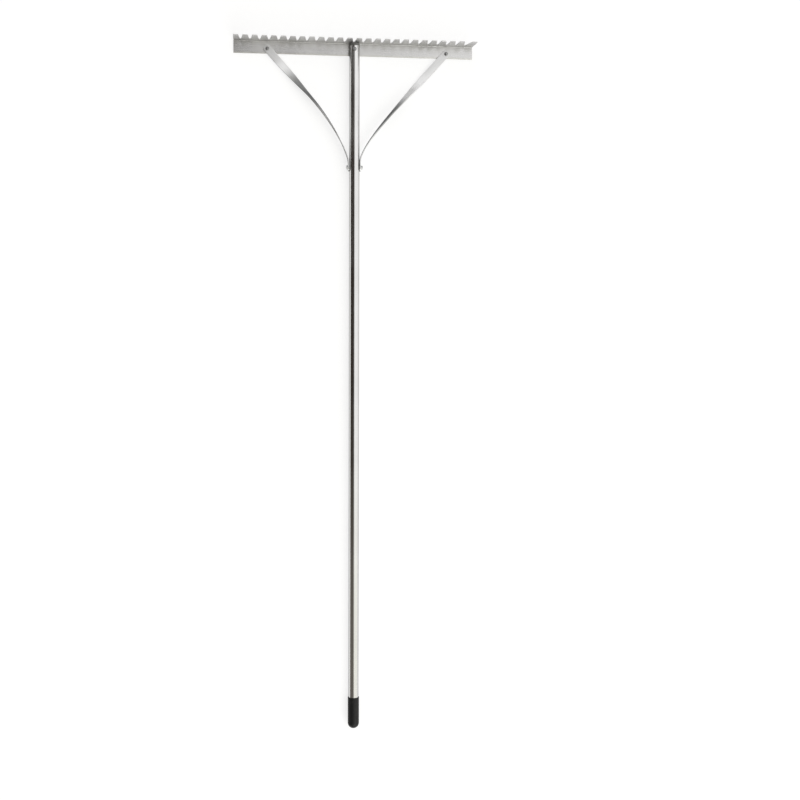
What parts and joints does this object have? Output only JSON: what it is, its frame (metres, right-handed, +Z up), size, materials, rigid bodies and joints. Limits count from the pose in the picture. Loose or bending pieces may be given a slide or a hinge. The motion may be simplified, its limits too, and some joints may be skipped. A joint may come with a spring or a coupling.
{
  "type": "sand leveler",
  "caption": "Long-handled T-shaped aluminium rake for sand pits, with a toothed flange, a bevelled levelling edge, twisted strap braces and a black grip cap.",
  "frame": {"origin": "on the floor, under the centre of the object's bounding box, midway along the tool and in line with the handle", "axes": "+X along the head bar to the right as seen from the grip, +Y along the handle from the grip to the head, +Z up, the way the teeth point when the tool lies on its back"},
  "size_m": [0.657, 1.89, 0.06],
  "materials": {
    "bare_aluminium": "mill finish, satin, with fine lengthwise drawing lines",
    "drawn_aluminium": "bright drawn tube, semi-gloss, fine lengthwise lines",
    "zinc_steel": "zinc plated, satin",
    "black_vinyl": "dipped soft vinyl, smooth, low sheen",
    "grey_plastic": "moulded, fine texture",
    "dark_nylon": "moulded nylon"
  },
  "bodies": {
    "root": {"head_bar": "bare_aluminium", "handle_tube": "drawn_aluminium", "tube_end_plug": "grey_plastic", "grip_cap": "black_vinyl", "left_brace": "bare_aluminium", "right_brace": "bare_aluminium", "left_brace_screw": "zinc_steel", "left_brace_washer": "zinc_steel", "left_brace_nut": "zinc_steel", "left_brace_nut_insert": "dark_nylon", "right_brace_screw": "zinc_steel", "right_brace_washer": "zinc_steel", "right_brace_nut": "zinc_steel", "right_brace_nut_insert": "dark_nylon", "handle_screw": "zinc_steel", "handle_washer": "zinc_steel", "handle_nut": "zinc_steel", "handle_nut_insert": "dark_nylon", "brace_bolt": "zinc_steel", "brace_bolt_head_washer": "zinc_steel", "brace_bolt_nut_washer": "zinc_steel", "brace_bolt_nut": "zinc_steel", "brace_bolt_nut_insert": "dark_nylon"}
  },
  "joints": []
}
